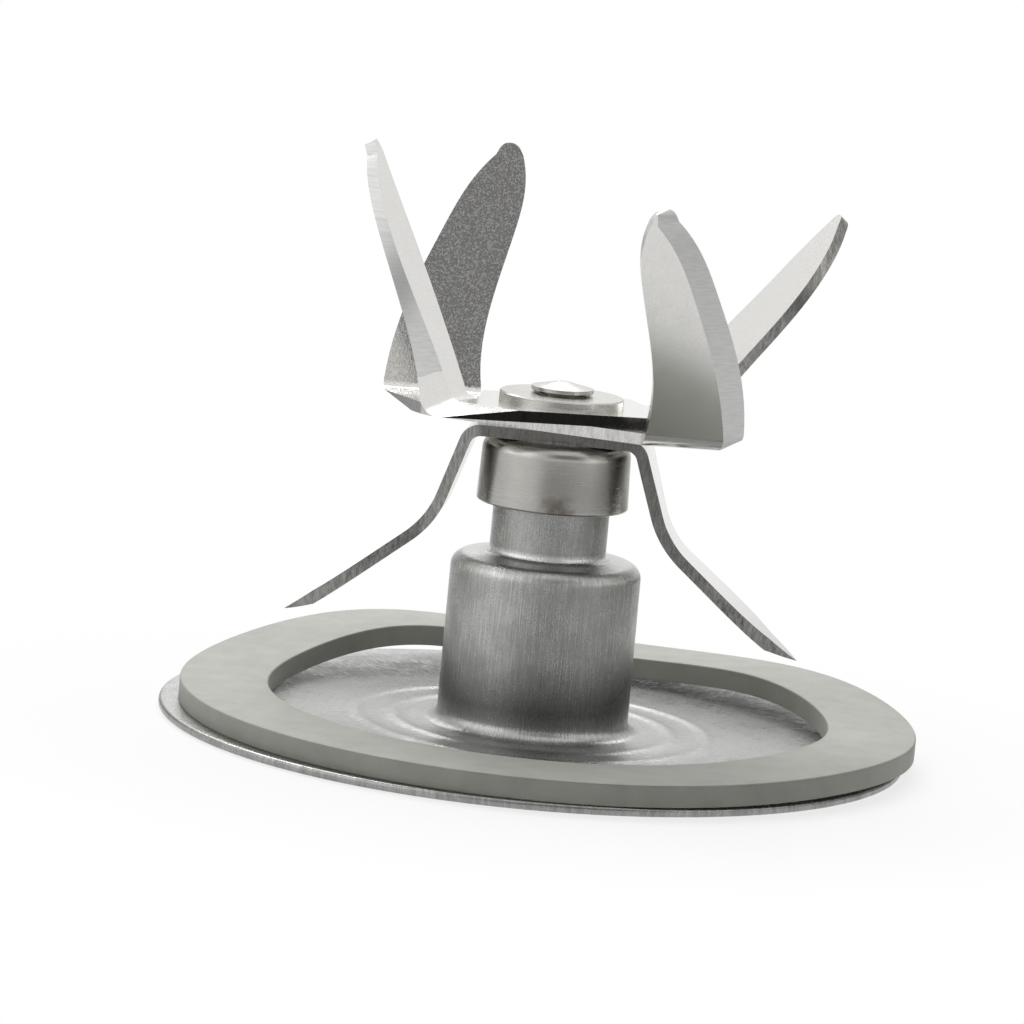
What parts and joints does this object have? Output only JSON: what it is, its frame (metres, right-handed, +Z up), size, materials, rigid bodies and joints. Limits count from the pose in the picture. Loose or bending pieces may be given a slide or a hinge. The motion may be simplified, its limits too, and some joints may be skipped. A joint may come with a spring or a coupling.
{
  "type": "blender blade assembly",
  "caption": "Jug blender blade assembly: a stack of bent steel blades on a sealed spindle in a drawn round base plate with a flat rubber ring.",
  "frame": {"origin": "on the spindle axis, at the underside of the base plate", "axes": "+Z up along the spindle, towards the blades; +X to the right and +Y away from the picture's viewer"},
  "size_m": [0.0669, 0.066, 0.0508],
  "materials": {
    "base_steel": "drawn, satin with fine draw lines",
    "plate_rubber": "matt grey-green, moulded",
    "cap_steel": "satin, turned",
    "blade_steel": "polished with ground edges",
    "turned_steel": "turned",
    "bearing_bronze": "sintered, oily",
    "oil_felt": "felt soaked with oil",
    "seal_rubber": "black, moulded"
  },
  "bodies": {
    "base": {"base_shell": "base_steel", "sealing_gasket": "plate_rubber", "upper_bushing": "bearing_bronze", "lower_bushing": "bearing_bronze", "oil_felt": "oil_felt", "shaft_seal": "seal_rubber"},
    "rotor": {"spindle": "turned_steel", "slinger_cap": "cap_steel", "lower_blade": "blade_steel", "middle_blade": "blade_steel", "upper_blade": "blade_steel", "clamp_washer": "turned_steel", "retaining_ring": "turned_steel"}
  },
  "joints": [
    {"name": "spin", "type": "hinge", "parent": "base", "child": "rotor", "pos_m": [0, 0, 0], "axis": [0, 0, 1], "continuous": true}
  ]
}
